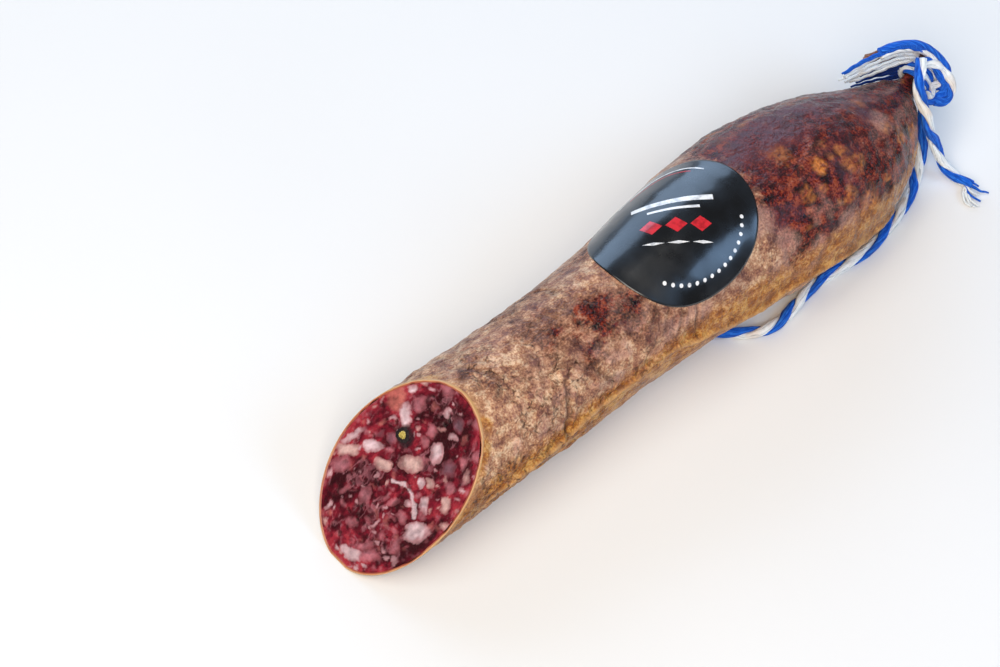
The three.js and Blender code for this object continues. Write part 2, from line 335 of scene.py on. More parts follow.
# The long end: the twine's lay has slackened, and its last centimetre is frayed into yarns.
long_end = twine(
    "long_end", LONG_END_ROUTE,
    [(0, 0.16), (10, -0.22), (22, -0.72), (35, -1.23), (51, -1.73), (61.5, -2.2), (75, -2.6)],
)
frays = loose_yarns(
    "long_end_frays",
    [
        (DYED, (140.6, -31.2, 3.2), (141.3, -33.8, 3.2), (142.2, -36.1, 2.6), (145.1, -38.7, 1.2)),
        (DYED, (140.8, -31, 3.6), (142, -33, 3.9), (143, -34.8, 3.4)),
        (DYED, (140.4, -31.2, 2.6), (141.6, -34, 2.6), (142.4, -36, 2)),
        (DYED, (139.8, -31.4, 2.4), (138, -34.6, 2), (138.9, -37.2, 1.5), (139.5, -39.5, 1.1)),
        (PLAIN, (140, -31.2, 2.8), (139.2, -34, 2.4), (141.5, -37.2, 1.4)),
        (PLAIN, (139.8, -31, 2.2), (136.8, -34.2, 1.8), (135.6, -36.8, 1.2), (135.9, -39.9, 0.8)),
        (PLAIN, (139.8, -30.8, 1.8), (136, -33.2, 1.6), (134.5, -36.2, 1.1), (134.9, -38.8, 0.7)),
        (PLAIN, (140, -31.2, 2), (137.6, -34.8, 1.6), (136.9, -38, 1.1), (137.3, -40.6, 0.8)),
    ],
)
for piece in (long_end, frays):
    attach(piece, "root")
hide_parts("twine_long_end")
declare(long_end, LONG_END_ROUTE, far_end="bare", lay="hanging", with_pieces=[frays])

# The short end: a bight that stands up beside the knot and goes over it, with the blue ply
# outside. Behind the knot it comes unlaid into a fan of white yarns under the blue ones.
short_end = twine(
    "short_end", SHORT_END_ROUTE,
    [(0, -0.04), (7.5, -0.12), (14.5, -0.52), (22, -0.82), (34, -0.79), (52, -0.8)],
)
yarn_ways = [
    (DYED, (146.5, 8.4, 42.8), (138.4, 13, 47.4), (128.6, 16.2, 47.3), (119, 18.4, 46.4),
     (110.6, 19.5, 44.9)),
    (DYED, (146, 8.2, 42.2), (138, 12.6, 46.6), (128, 15.8, 46.6), (119, 18, 45.7),
     (111.6, 19.2, 44.3)),
    (DYED, (144.6, 10.6, 34.4), (139.6, 13.6, 33.2), (132, 17.2, 33), (124, 19.4, 33.4)),
    (DYED, (144.6, 11, 32.6), (139.4, 14.2, 30.8), (131.4, 17.9, 30.6), (123.6, 20, 31.2)),
    (DYED, (144.4, 11.2, 30.8), (139, 14.6, 28.6), (132.6, 18.2, 28), (124, 20.4, 28.6)),
    (DYED, (144.2, 11.4, 29.2), (138.6, 14.8, 26.4), (131.6, 18.6, 25.4), (123, 21.4, 26)),
    (DYED, (144, 11.6, 27.8), (138.2, 15.2, 24.2), (131, 19, 22.8), (123, 22.4, 23)),
]
for n in range(8):
    s = n / 7
    bow = 0.8 * math.sin(n * 2.4)
    sunk = 0.7 * (n % 2)
    yarn_ways.append((
        PLAIN, (145.4 - 1.2 * s, 9.6 + 0.9 * s, 40.8 - 4.2 * s),
        (137.6, 13.2 + sunk, 45.4 - 10 * s),
        (127.6, 16.4 + sunk, 45.4 - 11.6 * s),
        (111.2 + 8.5 * s * s + 2 * bow, 19.2 - bow, 43.4 - 9.4 * s),
    ))
fan = loose_yarns("fan_of_yarns", yarn_ways, radius=0.74, shaded=range(2, 7))

# Tight turns of the same twine round the gathered neck, pulled down to 3 mm.
TIE_CENTRE = np.array([145, 7.7, 29])
TIE_AXIS = unit(np.array([1, 0.13, 0.14]))
TIE_RADIUS, TIE_TURNS, TIE_LENGTH = 5.6, 3.15, 7.4
sideways = unit(np.cross(TIE_AXIS, (0, 0, 1)))
upwards = np.cross(sideways, TIE_AXIS)
wraps = []
for t in np.linspace(0, 1, 56):
    swung = t * TIE_TURNS * ROUND
    round_neck = TIE_RADIUS * (math.cos(swung) * sideways + math.sin(swung) * upwards)
    wraps.append(TIE_CENTRE + TIE_AXIS * (TIE_LENGTH * t - 3.6) + round_neck)
tie = twine("tie_turns", wraps, [(0, 0), (130, -10)], width=3, step=0.6)
# The knot's crossing strands, seen through the bight.
knot = twine(
    "knot_strands",
    [(141.4, 0.6, 27.6), (143, -1.4, 27), (147, 1, 27.2), (149.6, -1.6, 29.2),
     (149.4, 0.6, 33.4), (148.2, 2.2, 37.6), (145.6, 4.4, 39.6), (141.6, 6.6, 40.2)],
    [(0, 0.7), (8, 0.33), (16, -0.01), (23.5, -0.42), (30, -0.7)], width=4.4, step=0.6,
)
root = twine(
    "bight_root",
    [(139.4, -1.8, 30), (142, -2.8, 27), (145.6, -2.6, 25.4), (149.2, -3.4, 27.2),
     (150.6, -2.2, 31)],
    [(0, 0.35), (5, 0.1), (9, -0.1), (20, -0.12)], step=0.6,
)
for piece in (short_end, fan, tie, knot, root):
    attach(piece, "root")
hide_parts("twine_short_end")
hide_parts("twine_yarns")
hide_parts("twine_tie")
declare(short_end, SHORT_END_ROUTE, far_end="bare", lay="loose", with_pieces=[fan, tie, knot, root])

# The cured meat in its natural casing. It dried unevenly: slim at the waist, full near the tie,
# and the skin has shrunk into fine wrinkles, with pleats where it is gathered.
# Columns: place along the sausage, radius, and the centre's place sideways and up.
GIRTHS = np.array([
    (-170, 23.5, -0.2, 22.9), (-139, 26.7, 1.1, 26.1), (-109, 26.6, 1.1, 26),
    (-69, 26.4, 0.2, 27.2), (-29, 26.6, -0.7, 31.6), (1, 29.1, -0.5, 34.9),
    (31, 32.4, 0.6, 31.7), (61, 32.9, -0.5, 32.2), (86, 29.6, -1.3, 29.6),
    (104, 23.8, -1.2, 27.6), (119, 17.3, 0.7, 26.6), (128, 12, 2.9, 26.8),
    (134, 6.8, 5.5, 27.4), (139.5, 4, 6.9, 28.2), (151, 3.9, 8.4, 29.8),
])
NECK_END = 151
# The cut goes through CUT_X at CUT_HEIGHT, and CUT_RUN along for each millimetre up.
CUT_X, CUT_HEIGHT, CUT_RUN = -128.5, 28, 1.045
# The label's radius and its middle: along, and back from the top.
LABEL_RADIUS, LABEL_X, LABEL_BACK = 32, 0.2, 3.5
# The radius at which the skin is laid out flat, and half the number of pleats at its neck.
MEAN_RADIUS = 29
HALF_PLEATS = 5.5
# Large numbers that scatter the values of `cloud` over its cells.
SCATTER, MIX = (374761393, 668265263, 974634777), 1274126177


def ease(value, start, end):
    t = np.clip((value - start) / (end - start), 0, 1)
    return t * t * (3 - 2 * t)


def bell(value, width):
    return np.exp(-((value / width) ** 2))


def girth_at(x):
    last = len(GIRTHS) - 1
    i = np.clip(np.searchsorted(GIRTHS[:, 0], x) - 1, 0, last - 1)
    a, b = GIRTHS[i], GIRTHS[i + 1]
    before, after = GIRTHS[np.maximum(i - 1, 0)], GIRTHS[np.minimum(i + 2, last)]
    span = (b - a)[..., :1]
    t = (x[..., None] - a[..., :1]) / span
    leaves = (b - before) / (b - before)[..., :1] * span
    arrives = (after - a) / (after - a)[..., :1] * span
    mixed = curve(t, a, b, leaves, arrives)
    return mixed[..., 1], mixed[..., 2], mixed[..., 3]


# The angle starts at +Y, the far side, and goes up over the top to the near side.
def casing_point(x, angle, above=0):
    radius, side, height = girth_at(x)
    lumps = np.sin(2 * angle + x * 0.031) + np.sin(3 * angle - x * 0.047 + 1.3)
    pleat = (np.abs(np.sin(HALF_PLEATS * angle)) - 0.6) * ease(x, 84, 131) * 0.9
    out = radius + above + (0.175 * lumps + pleat) * ease(radius, 4.3, 12)
    z = np.maximum(height + out * np.sin(angle), 0)
    return np.stack([x, side + out * np.cos(angle), z], -1)


def cut_at(angle):
    x = np.full(angle.shape, CUT_X)
    for _ in range(40):
        x = (x + CUT_X + CUT_RUN * (casing_point(x, angle)[..., 2] - CUT_HEIGHT)) / 2
    return x


# Smooth random unevenness from -1 to 1, whose features are about `size` millimetres across.
def cloud(points, size, seed, octaves=3):
    total, weight = 0, 0
    for octave in range(octaves):
        p = points / (size / 2**octave) + 17.3 * seed + 5.1 * octave
        cell = np.floor(p).astype(np.int64)
        t = ease(p - cell, 0, 1)
        mixed = 0
        for corner in range(8):
            step = np.array([corner & 1, corner >> 1 & 1, corner >> 2])
            n = (cell + step) @ SCATTER + seed * MIX
            n = (n & 0xFFFFFFFF) ^ (n >> 13 & 0x7FFFF)
            n = n * MIX & 0xFFFFFFFF
            n = (n ^ n >> 16) & 0xFFFF
            share = np.prod(np.where(step, t, 1 - t), -1)
            mixed += share * (n / 32767.5 - 1)
        total += mixed / 2**octave
        weight += 0.5**octave
    return total / weight * 1.6


# Creases pressed into the skin, as lines of (place along, degrees round), depth and width.
CREASES = [
    ([(-70.3, 129), (-71, 139), (-72.8, 147), (-74.9, 158), (-77.1, 178)], 0.9, 0.9),
    ([(-70, 114), (-64.6, 118), (-61.4, 124), (-56.9, 138), (-52.1, 157)], 0.6, 0.8),
    ([(-12.1, 143), (-13.6, 155), (-13.8, 172)], 0.6, 0.7),
    ([(-26.5, 124), (-29, 131), (-31.6, 139)], 0.35, 0.7),
    ([(-22.6, 131), (-25, 139), (-27.2, 147)], 0.35, 0.7),
    ([(-17.8, 139), (-19.6, 146), (-21.2, 154)], 0.35, 0.7),
    ([(-96, 70), (-92, 82), (-90, 97), (-94, 108)], 0.5, 0.9),
    ([(-52, 40), (-49, 52), (-50, 66)], 0.5, 0.8),
    ([(-110, 190), (-96, 194), (-84, 193)], 0.5, 1),
    ([(-40, 20), (-20, 14), (4, 16)], 0.45, 0.9),
]
# The low ridge where the skin folded as the sausage dried on its side.
RIDGE = [
    (-112, 178), (-86, 174), (-69.6, 170), (-51.4, 166), (-36.3, 168), (-24, 171), (-9.9, 180),
    (3, 187), (20.4, 186), (35.3, 181), (49.1, 182), (70, 186), (92, 190),
]


# How far each place is from a line of places, all on one flat sheet.
def distance_to(places, line):
    best = np.full(places.shape[:-1], 1e9)
    for a, b in zip(line, line[1:]):
        t = np.clip((places - a) @ (b - a) / ((b - a) @ (b - a)), 0, 1)
        best = np.minimum(best, np.linalg.norm(places - a - t[..., None] * (b - a), axis=-1))
    return best


def near_line(x, angle, line):
    laid_out = np.array([(a, math.radians(b) * MEAN_RADIUS) for a, b in line])
    return distance_to(np.stack([x, angle * MEAN_RADIUS], -1), laid_out)


# How the skin stands out from the plain form, in millimetres, how deep its lines are, and where
# the ridge's top is. Each cloud gives unevenness of one size: the number after the points.
def skin_relief(x, angle, plain):
    warped = plain + 1.6 * np.stack([cloud(plain, 9, s, 2) for s in (1, 2, 3)], -1)
    near_cut = 1 - ease(x, -75, -30)
    past_label = ease(x, 30, 60)
    top = ease(np.sin(angle), 0.45, 0.95)
    broad = 0.5 * cloud(plain, 17, 4, 2)
    lengthwise = cloud(warped * (0.28, 1, 1), 4.6, 5)
    crossing = cloud(warped * (1, 0.55, 0.55), 4.2, 6)
    cracks = bell(cloud(warped, 5.5, 7, 2), 0.1)
    fine_cracks = bell(cloud(warped, 3.2, 8, 2), 0.12)
    out = broad + (0.22 + 0.34 * past_label * top) * lengthwise
    out += (0.24 + 0.16 * near_cut) * crossing
    out += (0.1 + 0.14 * past_label) * cloud(plain, 2.6, 9, 2)
    # The lines also darken the skin's colour, as painted shade in them.
    lines = cracks * (0.22 + 0.34 * near_cut) + fine_cracks * (0.12 + 0.24 * near_cut)
    out -= lines * 0.55
    for line, depth, width in CREASES:
        away = near_line(x + 0.8 * cloud(plain, 6, 10, 2), angle, line)
        groove = bell(away, 1.35 * width)
        out += depth * (0.5 * bell(away - 2.2 * width, width) - groove)
        lines += 0.75 * groove
    ridge = near_line(x, angle + 0.05 * cloud(plain, 20, 11, 2), RIDGE)
    out += 1.45 * bell(ridge, 1.2) * ease(x, -118, -100) * (1 - ease(x, 88, 100))
    return out, lines, bell(ridge, 0.9)


angles = np.linspace(0, ROUND, 241)
round_body = angles[:-1]
cut_x = cut_at(round_body)
share = np.linspace(0, 1, 401)[:, None]
x = cut_x + (NECK_END - cut_x) * share
angle = np.broadcast_to(round_body, x.shape)
plain = casing_point(x, angle)
relief, lines, fold_top = skin_relief(x, angle, plain)
radius = girth_at(x)[0]
reach = np.hypot(x - LABEL_X, (math.pi / 2 - angle) * radius - LABEL_BACK)
bare = ease(reach, LABEL_RADIUS - 1, LABEL_RADIUS + 1.5)
calm = ease(x - cut_x, 0, 5) * ease(radius, 4.5, 14) * (0.15 + 0.85 * bare)
calm *= ease(plain[..., 2], 0, 3)
skin = casing_point(x, angle, relief * calm)
skin[..., 2] = np.where(plain[..., 2] <= 0, 0, np.maximum(skin[..., 2], 0))

# Where the skin is dry and tan, where it stays thin and dark over the meat, where fat shows
# through as orange or pinkish white, and where its flanks get a golden painted bounce light.
patches = cloud(plain, 13, 21)
small = cloud(plain, 5, 22)
degrees = np.degrees(angle)
flank = ease(degrees, 148, 170) * (1 - ease(degrees, 250, 300))
far_flank = ease(-degrees, -30, -5) + ease(degrees, 300, 340)
dry = 0.95 - 0.04 * ease(x, -75, -45) - 1.32 * ease(x, 16, 42) * (1 - 0.45 * flank)
# Past 100 mm, toward the neck, the last two terms make the skin darker: painted shade.
dry = dry + 0.44 * patches + 0.34 * small - 0.2 * ease(x, 108, 124) - 0.4 * ease(x, 100, 118)
# Places more or less dry: middle and reach along, middle and reach in degrees round, amount.
SPOTS = [
    (-46, 17, 103, 17, -0.95), (52, 12, 131, 14, -0.3), (-30, 30, 112, 34, -0.3),
    (-61, 10, 93, 10, -0.4), (-57, 13, 140, 16, 0.3), (62, 34, 160, 12, 0.5),
]
spots = [np.exp(-(((x - a) / b) ** 2) - ((degrees - c) / d) ** 2) for a, b, c, d, _ in SPOTS]
for spot, (*_, amount) in zip(spots, SPOTS):
    dry += amount * spot
dark_spot = spots[0]
# Painted bounce light: the lower flank and the far flank are tinted golden ochre.
gold_and_bounce = np.clip(flank + 0.7 * far_flank, 0, 1) * (0.95 + 0.3 * patches + 0.3 * small)
fat = 0.6 * ease(cloud(plain, 6.5, 23, 2), 0.5, 0.85) * ease(x, 34, 52)
fat *= 1 - ease(degrees, 176, 200)
# One degree round the full part of the sausage, in millimetres. Then the fat that shows orange
# and the fat that shows whitish: each patch's place along, degrees round and reach.
DEGREE = 0.55
for spot_x, spot_degrees, spot_size in (
    (49.3, 91, 5.6), (59, 111, 4), (71, 122, 5.5), (100, 113, 4), (73.4, 154, 8), (66, 103, 3),
    (70, 110, 3),
):
    away = np.hypot(x - spot_x, (degrees - spot_degrees) * DEGREE) + 2.2 * small
    fat = np.maximum(fat, 1 - ease(away, spot_size * 0.3, spot_size))
dry -= 0.55 * fat
pale = ease(cloud(plain, 6, 24), 0.05, 0.6) * (0.25 + 0.75 * ease(degrees, 112, 140))
pale *= 1 - 0.55 * ease(x, 30, 50)
for spot_x, spot_degrees in ((26, 120), (33.5, 142), (45, 163), (61, 156), (99, 106)):
    away = np.hypot(x - spot_x, (degrees - spot_degrees) * DEGREE) + 2.5 * small
    pale = np.maximum(pale, 0.9 * (1 - ease(away, 2.5, 7)))
# The tops of the pleats are coloured lighter.
pleat_top = ease(np.abs(np.sin(HALF_PLEATS * (angle + 0.05 * patches))), 0.72, 0.98)
pleat_top *= 0.75 + 0.5 * small
pale = np.maximum(pale, 0.42 * pleat_top * ease(x, 82, 100) * (1 - ease(x, 122, 132)))
pale *= 1 - 0.5 * gold_and_bounce
# A mauve-grey tint over the top, in lengthwise streaks: partly the skin's own tint and partly a
# painted sheen.
mauve_and_sheen = ease(x, 15, 45) * bell(degrees - 72, 30) * (0.95 + 0.5 * patches)
mauve_and_sheen = np.clip(mauve_and_sheen + 0.4 * ease(cloud(plain, 9, 25, 2), 0.1, 0.6), 0, 1)
mauve_and_sheen = mauve_and_sheen * (1 - 0.7 * ease(x, 100, 116)) * (1 - 0.8 * dark_spot)
mauve_and_sheen *= 1 + 0.6 * cloud(plain * (0.25, 1, 1), 4.6, 27, 2)
# Where the skin has dried into a net of fine wrinkles, and its paler band along the cut.
wrinkled = (0.4 + 0.6 * (1 - ease(x, -66, -30))) * (0.65 + 0.75 * cloud(plain, 10, 26, 2))
wrinkled = np.clip(wrinkled + 0.35 * bell(x + 24, 22), 0, 1) * calm
cut_band = 1 - ease(x - cut_x + 3 * small, 0.5, 6)
# The band along the cut gets the same golden tint.
gold_and_bounce = np.maximum(gold_and_bounce, 0.7 * cut_band * (0.6 + patches))

# Dried natural casing over cured pork: a thin, smooth, slightly waxy skin with a satin shine.
# It is see-through over the lean, so the meat's dark red shows, and tan where it has dried off.
casing_skin, add, shader, place = new_material(
    "dried natural casing", IOR=1.4, Specular_IOR_Level=0.2, Coat_Weight=0.16, Coat_Roughness=0.15,
    Subsurface_Weight=0.06, Subsurface_Radius=(1, 0.4, 0.2), Subsurface_Scale=0.002,
)
kept = {
    key: add("Attribute", attribute_name=key).outputs["Fac"]
    for key in ("dry", "gold_and_bounce", "fat", "pale", "mauve_and_sheen", "lines", "ridge_highlight_and_band", "wrinkled")
}
# Meat grain 4 mm and 1.6 mm across, and a fine speckle of 0.8 mm. The first and the last go
# together into the flecks that give each tone its light and dark.
grain = add("TexNoise", {"Vector": place, "Scale": 250, "Detail": 4})
mottle = add("TexNoise", {"Vector": place, "Scale": 620, "Detail": 4})
speckle = add("TexNoise", {"Vector": place, "Scale": 1250, "Detail": 2})
coarse = add("Math", {0: grain, 1: 0.7, 2: -0.1}, operation="MULTIPLY_ADD")
flecked = add("Math", {0: speckle, 1: 0.5, 2: coarse}, operation="MULTIPLY_ADD")
# Three tones: the meat seen through, the skin dried off to tan, and an ochre that paints
# bounce light on the flanks and also tints the band along the cut.
meat, tan, ochre = (
    add("ValToRGB", {"Fac": flecked}, stops)
    for stops in (
        [(0.38, "#0e0304"), (0.46, "#3a0c0a"), (0.54, "#6a1c12"), (0.63, "#934226")],
        [(0.36, "#7b4e40"), (0.46, "#a6755a"), (0.54, "#bf9371"), (0.63, "#dfbc9b")],
        [(0.38, "#83491a"), (0.47, "#a36222"), (0.54, "#b87a33"), (0.62, "#cb9852")],
    )
)
broken = add("MapRange", {"Value": mottle, 1: 0.36, 2: 0.62, 3: 0.15})
fat_seen = add("Math", {0: kept["fat"], 1: broken}, operation="MULTIPLY")
fatty = add("Mix", {0: fat_seen, 6: meat, 7: linear("#d8843c")}, data_type="RGBA")
# The meat breaks the tone up most where the skin is least dry.
swing = add("Math", {0: mottle, 1: 0.5}, operation="SUBTRACT")
amount = add("Math", {0: kept["dry"], 1: -0.9, 2: 1.5}, operation="MULTIPLY_ADD")
dry_terms = {0: swing, 1: amount, 2: kept["dry"]}
dryness = add("Math", dry_terms, operation="MULTIPLY_ADD", use_clamp=True)
skin_tone = add("Mix", {0: dryness, 6: fatty, 7: tan}, data_type="RGBA")
whitish = add("Math", {0: kept["pale"], 1: speckle}, operation="MULTIPLY")
fat_under = add("Mix", {0: whitish, 6: skin_tone, 7: linear("#d4a592")}, data_type="RGBA")
# Mixes in the mauve tint, partly a painted sheen.
greyed = add("Math", {0: kept["mauve_and_sheen"], 1: 0.64}, operation="MULTIPLY")
cool = add("Mix", {0: greyed, 6: fat_under, 7: linear("#5d3a42")}, data_type="RGBA")
gold_terms = {0: swing, 1: 1.5, 2: kept["gold_and_bounce"]}
gilded = add("Math", gold_terms, operation="MULTIPLY_ADD", use_clamp=True)
there = add("MapRange", {"Value": kept["gold_and_bounce"], 1: 0.05, 2: 0.45})
gilded = add("Math", {0: gilded, 1: there}, operation="MULTIPLY")
warm = add("Mix", {0: gilded, 6: cool, 7: ochre}, data_type="RGBA")
# Dry-skin wrinkles: a net of shallow grooves 5 mm apart and 0.6 mm wide, drawn out lengthwise.
# Their grooves and the creases are painted dark brown, a painted shade.
warp = add("VectorMath", {0: grain.outputs["Color"], "Scale": 0.006}, operation="SCALE")
warped = add("VectorMath", {0: place, 1: warp}, operation="ADD")
longer = add("Mapping", {"Vector": warped, "Scale": (0.7, 1, 1)})
net = add("TexVoronoi", {"Vector": longer, "Scale": 210}, feature="DISTANCE_TO_EDGE")
edges = add("MapRange", {"Value": net, 2: 0.11, 3: 1, 4: 0})
parted = add("MapRange", {"Value": mottle, 1: 0.4, 2: 0.6, 3: 0.1})
wrinkle = add("Math", {0: edges, 1: parted}, operation="MULTIPLY")
wrinkle = add("Math", {0: wrinkle, 1: kept["wrinkled"]}, operation="MULTIPLY")
creases = add("Math", {0: kept["lines"], 1: 0.55}, operation="MULTIPLY")
depth = add("Math", {0: wrinkle, 1: 0.8, 2: creases}, operation="MULTIPLY_ADD", use_clamp=True)
# Along the ridge's top the skin is painted light tan, a painted highlight; the band along the cut is
# lightened too.
highlight_and_band_share = add("Math", {0: kept["ridge_highlight_and_band"], 1: 0.6}, operation="MULTIPLY", use_clamp=True)
ridge_and_band_lightened = add("Mix", {0: highlight_and_band_share, 6: warm, 7: linear("#d6a873")}, data_type="RGBA")
# Painted shade: dark brown in the wrinkles and creases.
crease_shaded = add("Mix", {0: depth, 6: ridge_and_band_lightened, 7: linear("#3f261d")}, data_type="RGBA")
dull = add("MapRange", {"Value": dryness, 3: 0.26, 4: 0.35})
uneven = add("Math", {0: speckle, 1: 0.35, 2: mottle}, operation="MULTIPLY_ADD")
uneven = add("Math", {0: wrinkle, 1: -0.8, 2: uneven}, operation="MULTIPLY_ADD")
creased = add("Bump", {"Height": uneven, "Strength": 0.65, "Distance": 0.001})
shade_with(shader, Base_Color=crease_shaded, Roughness=dull, Normal=creased, Coat_Normal=creased)

# Painted highlight along the ridge's top, and the lighter band along the cut.
ridge_highlight_and_band = np.maximum(fold_top * calm * (0.9 + 0.5 * patches), 0.5 * cut_band * (0.7 + small))
casing = build(
    "casing",
    [{
        "points": skin, "along": np.linspace(CUT_X, NECK_END, len(share)) * MM,
        "around": angles * MEAN_RADIUS * MM,
        "values": {
            "dry": dry, "gold_and_bounce": gold_and_bounce, "fat": fat, "pale": pale, "mauve_and_sheen": mauve_and_sheen,
            "lines": lines * calm, "wrinkled": wrinkled, "ridge_highlight_and_band": ridge_highlight_and_band,
        },
    }],
    [casing_skin], caps=False,
)
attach(casing, "root")
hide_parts("sausage")

# The gathered end of the casing beyond the tie: empty skin, folded back over the turns of twine
# and dried into a stiff, crumpled flap.
TAIL_ROUTE = [
    (148, 8.2, 29.6), (152.8, 9.8, 30.4), (152.8, 13.4, 32.6), (147, 16.8, 34.4),
    (138, 19.4, 36.4), (128, 20.6, 38.4),
]
line = follow(TAIL_ROUTE, 0.5)
tail_side, tail_up = across(line)
tail_angles = np.linspace(0, ROUND, 61)
turn = tail_angles[None, :-1]
run = run_of(line)[:, None]
folds = np.abs(np.sin(3.5 * turn + 0.05 * run)) - 0.5 + 0.3 * np.sin(9 * turn - 0.3 * run)
TAIL_RADIUS = 2.35
size = TAIL_RADIUS + 0.5 * folds + 0.25 * np.sin(run / 2.1 + 2 * turn)
size *= 0.9 + 0.25 * ease(run, 14, 30)
tail_points = line[:, None] + size[..., None] * (
    np.cos(turn)[..., None] * tail_side[:, None] + 0.8 * np.sin(turn)[..., None] * tail_up[:, None]
)
# Its fold crests are coloured more tan, and its fold hollows are painted darker through `lines`, a
# painted shade.
tail = build(
    "casing_tail",
    [{
        "points": tail_points, "along": run[:, 0] * MM, "around": tail_angles * 2.5 * MM,
        "values": {
            "dry": 0.55 + 0.3 * folds, "gold_and_bounce": 0.2, "fat": 0, "pale": 0, "mauve_and_sheen": 0.3,
            "lines": np.clip(-folds, 0, 1), "ridge_highlight_and_band": 0, "wrinkled": 0.4,
        },
    }],
    [casing_skin],
)
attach(tail, "root")

# The slanting cut through the filling: coarsely minced lean pork, dark crimson to maroon, with
# pieces of firm back fat. The knife left it nearly flat, moist, with a few small pits.
# Places on the face are sideways and up the slope, from the middle of the slice.
SLOPE = math.hypot(1, CUT_RUN)
RIM = 1
# Half the face's length up the slope, and half its breadth.
FACE_LONG, FACE_BROAD = 38, 27
WHITE, CREAM, PINK, SALMON, MAUVE = range(5)
# Each piece of fat: its place, its length and breadth, the way that it lies, and its kind.
FAT = [
    (13, 15.3, 9.4, 4.8, 52, WHITE), (20.1, 17.4, 10.2, 8, 60, SALMON),
    (22.7, -8.6, 8.6, 5.4, 140, CREAM), (24.6, -3.4, 9.4, 1.9, 112, WHITE),
    (16.3, -1.3, 8.8, 5, 145, WHITE), (8.2, -3.4, 6.6, 5.4, 140, CREAM),
    (0.3, 4.3, 10.2, 5.6, 146, CREAM), (-4.8, 13.3, 7.4, 5, 55, WHITE),
    (1.3, 12.6, 4.6, 3.1, 49, PINK), (12.4, 6.3, 5.4, 4, 120, MAUVE),
    (-6.9, 1.4, 3.9, 3.2, 80, WHITE), (-12.7, -3.5, 5.4, 3.6, 52, WHITE),
    (-3, -10.6, 4.6, 3.2, 140, PINK), (-8.2, -7.2, 4.4, 2.6, 170, WHITE),
    (-19.2, 2.1, 6, 4.7, 50, CREAM), (-16, 8, 5.4, 4.2, 49, PINK),
    (-19.2, 14.4, 4.6, 2.6, 60, CREAM), (-16.7, -12.8, 10.4, 7.4, 142, WHITE),
    (6.8, -16.4, 7, 4.6, 60, PINK), (-14.1, -21.7, 5.6, 3.6, 60, PINK),
    (-2.2, -34.5, 9, 4.4, 160, WHITE), (-8.5, -30.8, 8, 4, 150, PINK),
    (-4.5, -29.3, 5.8, 3.4, 140, PINK), (-2.4, -20.9, 5.6, 1.5, 110, WHITE),
    (6.2, 32.4, 5.2, 4.6, 60, PINK), (1.4, 25.6, 3.3, 3, 0, WHITE),
    (14.6, 28.4, 3.4, 2.3, 140, CREAM), (10.8, 21.7, 4.6, 4, 60, PINK),
    (-4.9, 26, 5, 4.4, 60, MAUVE), (21.4, -14.9, 9, 5, 130, PINK),
    (-11.5, 12.6, 5, 4.8, 60, MAUVE), (-17, 22, 4.4, 4, 60, PINK),
    (4.6, -27.2, 5, 3.8, 140, PINK), (1.6, 17.6, 4.6, 4, 60, PINK),
]
# White sinew cut along its length.
SINEW = [(2.4, -5.2), (-2, -3.2), (-6.6, -3.6), (-10, -6), (-12.6, -9.2)]
# Places where the lean is darkest, with their reach.
DARK = [
    (6.3, 27.8, 8), (-6, 30, 8), (7.2, -28, 9), (14, -18, 6), (-3, 20, 7), (2, -14, 6), (-13, 22, 9),
    (2, 34, 7), (20, -24, 7), (-8, 8, 5),
]

# The face goes from its middle out to the casing in rings. Its own ways are out of it and up it.
rings = np.concatenate([[0.004], np.linspace(0.012, 1, 169)])[:, None]
face_angles = np.linspace(0, ROUND, 301)
round_face = face_angles[:-1]
edge = casing_point(cut_at(round_face), round_face)
middle = np.array([CUT_X - 1.5, 1, CUT_HEIGHT - 1.5 / CUT_RUN])
outward = np.array([-1, 0, CUT_RUN]) / SLOPE
slope_way = np.array([CUT_RUN, 0, 1]) / SLOPE
spoke = edge - middle
shrink = 1 - RIM / np.linalg.norm(spoke, axis=-1)
face = middle + rings[..., None] * (spoke * shrink[:, None])[None]
sideways_mm = face[..., 1]
up_mm = (face[..., 2] - CUT_HEIGHT) * SLOPE
flat = np.stack([sideways_mm, up_mm, 0 * up_mm], -1)
bent = flat + 1.3 * np.stack([cloud(flat, 4.6, s, 4) for s in (31, 32, 33)], -1)
ragged = bent + 0.55 * np.stack([cloud(flat, 1.5, s) for s in (34, 35, 36)], -1)

# The small pieces are scattered where there is room, and seldom in the dark places.
ALL_PIECES, TRIES = 360, 2600
drawn = random.Random(5)
pieces = list(FAT)
for _ in range(TRIES):
    spot_y, spot_s = drawn.uniform(-27, 29), drawn.uniform(-41, 40)
    long = drawn.choice((0.9, 1.2, 1.5, 1.9, 2.4, 3, 4))
    room = min(math.hypot(spot_y - p[0], spot_s - p[1]) - (p[2] + p[3]) / 4 for p in pieces)
    dark = min(math.hypot(spot_y - d[0], spot_s - d[1]) - d[2] * 0.75 for d in DARK)
    if room > long * 0.45 + 0.1 and (dark > 0 or drawn.random() < 0.25) and len(pieces) < ALL_PIECES:
        kind = drawn.choice((WHITE, WHITE, PINK, PINK, CREAM, SALMON, MAUVE))
        broad = long * drawn.uniform(0.5, 0.95)
        pieces.append((spot_y, spot_s, long, broad, drawn.uniform(0, 180), kind))

